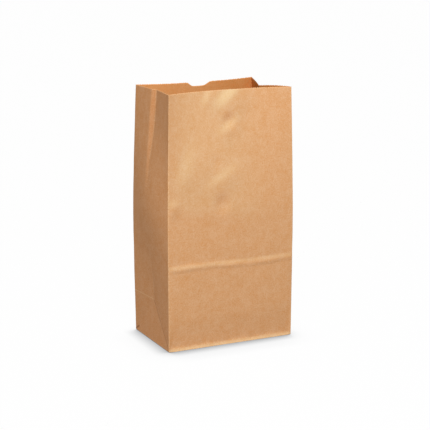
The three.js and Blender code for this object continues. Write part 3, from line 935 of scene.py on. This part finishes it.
class SACK_OT_walls(bpy.types.Operator):
    """Fold the sheet into the sack's four walls, up to the toothed rim"""

    bl_idname = "sack.walls"
    bl_label = "Build the Walls"

    def execute(self, context):
        sizes = context.scene.sack_sizes
        shape = SackShape(sizes)
        columns = wall_columns(shape)
        rows = wall_heights(shape)
        taper_from = shape.height - NOTCH_TAPER
        points = np.zeros((len(rows), len(columns), 3))
        fold = np.zeros((len(rows), len(columns)))
        rubbed_and_sheen = np.zeros((len(rows), len(columns)))
        for c, (panel, station, _, _) in enumerate(columns):
            rim = shape.rim_height(panel, station)
            share = clamp01((rows - taper_from) / (shape.height - taper_from))
            heights = np.where(share > 0, taper_from + (rim - taper_from) * share, rows)
            points[:, c] = shape.wall(panel, np.full(len(rows), station), heights)
            fold[:, c] = fold_wear_and_foot_sheen(shape, panel, station, rows)
            rubbed_and_sheen[:, c] = shape.rubbing_and_sheen(panel, np.full(len(rows), station), rows)

        for c, (_, _, _, corner) in enumerate(columns):
            if corner:
                middle = (points[:, c - 1] + points[:, (c + 1) % len(columns)]) / 2
                points[:, c] += FOLD_ROUNDING * (middle - points[:, c])

        count = len(columns)
        faces = []
        for r in range(len(rows) - 1):
            for c in range(count):
                d = (c + 1) % count
                faces.append((r * count + c, r * count + d, (r + 1) * count + d, (r + 1) * count + c))

        # The knife's teeth are cut all round but for the notch
        tooth_place = np.zeros((len(rows), count))
        tooth_way = np.zeros((len(rows), count, 3))
        for c, (panel, station, place, _) in enumerate(columns):
            if shape.rim_height(panel, station) > shape.height - NOTCH_TOOTHED:
                tooth_place[-1, c] = place
                tooth_way[-1, c] = (0, 0, -1)

        girth = np.zeros(count + 1)
        start = 0
        for c, (panel, station, _, corner) in enumerate(columns):
            girth[c] = start + shape.panel_width(panel) / 2 + station
            if c + 1 < count and columns[c + 1][3]:
                start += shape.panel_width(panel)
        girth[count] = 2 * (shape.width + shape.depth)

        def sheet_map(corners):
            r, c = np.divmod(corners, count)
            along = girth[c]
            # The last column's faces reach round to the first column again
            closing = np.arange(len(corners)) // 4 % count == count - 1
            along = np.where(closing & (c == 0), girth[count], along)
            return np.stack([along, rows[r]], axis=-1) * MM

        fields = {"tooth_place": tooth_place, "tooth_way": tooth_way, "fold": fold, "rubbed_and_sheen": rubbed_and_sheen}
        piece = make_sheet("sack_walls", points.reshape(-1, 3), faces, fields, sheet_map, context.scene)
        piece.data.shade_smooth()
        finish_piece(piece)
        return {"FINISHED"}


class SACK_OT_bottom(bpy.types.Operator):
    """Fold the tube's end shut: side flaps and corner triangles inside, then the front flap, then the back"""

    bl_idname = "sack.bottom"
    bl_label = "Build the Bottom"

    def execute(self, context):
        sizes = context.scene.sack_sizes
        shape = SackShape(sizes)
        ply = shape.thickness
        foot = shape.fold_radius
        half_width = shape.width / 2 - foot
        half_depth = shape.depth / 2 - foot
        reach = shape.flap - foot
        outlines = []

        # The front and back flaps: folded at 45 degrees from both corners, toothed along the free edge
        half_free = half_width - reach
        teeth = round(2 * half_free / shape.tooth_pitch)
        for face, level in ((1, 0.0), (-1, ply)):
            edge = [(half_width, half_depth, 0, 0), (-half_width, half_depth, 0, 0)]
            for i in range(2 * teeth + 1):
                edge.append((-half_free + half_free * i / teeth, half_depth - reach, i / 2, 1))
            outlines.append([(face * x, face * y, level, place, face * tooth) for x, y, place, tooth in edge])

        # The side flaps, and the corner triangles tucked under them, which meet on the middle line
        for side in (-1, 1):
            inner = half_width - reach
            outer = [(inner, half_depth), (half_width, half_depth)]
            flap = [(x, -y) for x, y in outer] + outer[::-1]
            outlines.append([(side * x, side * y, 3 * ply, 0, 0) for x, y in flap])
            for face in (-1, 1):
                corner = [*outer, (half_width, 0), (inner + half_depth, 0)]
                outlines.append([(side * x, face * y, 2 * ply, 0, 0) for x, y in corner])

        points = []
        faces = []
        places = []
        ways = []
        for outline in outlines:
            area = sum(a[0] * b[1] - b[0] * a[1] for a, b in zip(outline, outline[1:] + outline[:1]))
            ordered = outline if area < 0 else outline[::-1]
            faces.append(tuple(range(len(points), len(points) + len(ordered))))
            for x, y, level, place, tooth in ordered:
                points.append((x, y, level))
                places.append(place)
                ways.append((0, tooth, 0))

        plan = (np.array(points)[:, :2] + (shape.width, shape.depth)) * MM
        plain = {"fold": np.zeros(len(points)), "rubbed_and_sheen": np.full(len(points), RUBBED_ALL_OVER)}
        fields = {"tooth_place": places, "tooth_way": ways, **plain}
        piece = make_sheet("sack_bottom", points, faces, fields, lambda corners: plan[corners], context.scene)
        finish_piece(piece)
        return {"FINISHED"}


def look_at(thing, target):
    way = Vector(target) - thing.location
    thing.rotation_euler = way.to_track_quat("-Z", "Y").to_euler()


def floor_material(shadow_reach):
    """A pale matt floor. The camera sees it white but for the shadow close round the foot."""
    material = bpy.data.materials.new("pale_floor")
    material.use_nodes = True
    tree = material.node_tree
    tree.nodes.clear()
    build = NodeBuilder(tree)
    matt = build.add("ShaderNodeBsdfDiffuse", {"Color": FLOOR_TONE, "Roughness": 0.4})
    hidden = 0
    for reach, way, share in SHADOW_ROUNDS:
        tilted = build.add("ShaderNodeCombineXYZ", dict(enumerate(way))).outputs[0]
        round_about = {"Distance": shadow_reach * reach, "Normal": tilted}
        close = build.add("ShaderNodeAmbientOcclusion", round_about, samples=24).outputs["AO"]
        part = build.math("MULTIPLY", build.math("SUBTRACT", 1, close), share)
        hidden = build.math("ADD", part, hidden)
    dark = build.math("MULTIPLY", build.math("POWER", hidden, SHADOW_CURVE), SHADOW_GAIN, clamp=True)
    tone = build.mix_colour(dark, (1, 1, 1, 1), SHADOW_TONE)
    white = build.add("ShaderNodeEmission", {"Color": tone, "Strength": 1.0})
    shown = build.math("MULTIPLY", seen_plainly(build), FLOOR_WHITE)
    both = build.add("ShaderNodeMixShader", {0: shown, 1: matt.outputs[0], 2: white.outputs[0]})
    build.add("ShaderNodeOutputMaterial", {"Surface": both.outputs[0]})
    return material


class SACK_OT_stage(bpy.types.Operator):
    """Set the sack on a pale floor under soft light, and place the camera"""

    bl_idname = "sack.stage"
    bl_label = "Set the Studio"

    def execute(self, context):
        scene = context.scene
        studio = scene.sack_studio

        mesh = bpy.data.meshes.new("studio_floor")
        corners = [(x * FLOOR_REACH, y * FLOOR_REACH, 0) for x, y in ((-1, -1), (1, -1), (1, 1), (-1, 1))]
        mesh.from_pydata(corners, [], [(0, 1, 2, 3)])
        mesh.materials.append(floor_material(studio.shadow_reach))
        floor = bpy.data.objects.new("studio_floor", mesh)
        scene.collection.objects.link(floor)

        world = bpy.data.worlds.new("Studio")
        world.use_nodes = True
        world.node_tree.nodes.clear()
        build = NodeBuilder(world.node_tree)
        # Seen by the camera the sky is white, and it lights the sack at its own strength
        gain = build.math("ADD", build.math("MULTIPLY", seen_plainly(build), 1 - studio.sky), studio.sky)
        sky = build.add("ShaderNodeBackground", {"Color": (1, 1, 1, 1), "Strength": gain})
        build.add("ShaderNodeOutputWorld", {"Surface": sky.outputs[0]})
        scene.world = world

        lamp = bpy.data.lights.new("key_softbox", "AREA")
        lamp.shape = "SQUARE"
        lamp.size = studio.key_size
        lamp.energy = studio.key
        key = bpy.data.objects.new("key_softbox", lamp)
        turn, rise = studio.key_turn, studio.key_rise
        away = (math.sin(turn) * math.cos(rise), -math.cos(turn) * math.cos(rise), math.sin(rise))
        key.location = Vector(KEY_TARGET) + Vector(away) * studio.key_distance
        look_at(key, KEY_TARGET)
        scene.collection.objects.link(key)

        lens = bpy.data.cameras.new("studio_camera")
        lens.sensor_fit = "HORIZONTAL"
        lens.sensor_width = 36
        lens.lens = studio.lens
        lens.clip_start = 0.01
        camera = bpy.data.objects.new("studio_camera", lens)
        camera.location = CAMERA_PLACE
        look_at(camera, CAMERA_TARGET)
        scene.collection.objects.link(camera)
        scene.camera = camera
        scene.view_settings.view_transform = "Standard"
        return {"FINISHED"}


class SACK_PT_sidebar(bpy.types.Panel):
    """The sack's sizes, finish and studio, with a button for each step."""

    bl_label = "Paper Lunch Sack"
    bl_idname = "SACK_PT_sidebar"
    bl_space_type = "VIEW_3D"
    bl_region_type = "UI"
    bl_category = "Sack"

    def draw(self, context):
        layout = self.layout
        scene = context.scene
        for heading, group in (("Sizes", "sack_sizes"), ("Finish", "sack_finish"), ("Studio", "sack_studio")):
            box = layout.box()
            box.label(text=heading)
            settings = getattr(scene, group)
            for name in type(settings).__annotations__:
                box.prop(settings, name)
        for step in STEPS:
            layout.operator(step.bl_idname)


STEPS = (SACK_OT_stage, SACK_OT_walls, SACK_OT_bottom)
GROUPS = (("sack_sizes", SackSizes), ("sack_finish", SackFinish), ("sack_studio", StudioSettings))


def register():
    for _, group in GROUPS:
        bpy.utils.register_class(group)
    for cls in (*STEPS, SACK_PT_sidebar):
        bpy.utils.register_class(cls)
    for name, group in GROUPS:
        setattr(bpy.types.Scene, name, PointerProperty(type=group))


def unregister():
    for name, _ in GROUPS:
        delattr(bpy.types.Scene, name)
    for cls in reversed((*STEPS, SACK_PT_sidebar)):
        bpy.utils.unregister_class(cls)
    for _, group in reversed(GROUPS):
        bpy.utils.unregister_class(group)


def main():
    register()
    bpy.ops.sack.stage()
    bpy.ops.sack.walls()
    bpy.ops.sack.bottom()


if __name__ == "__main__":
    main()
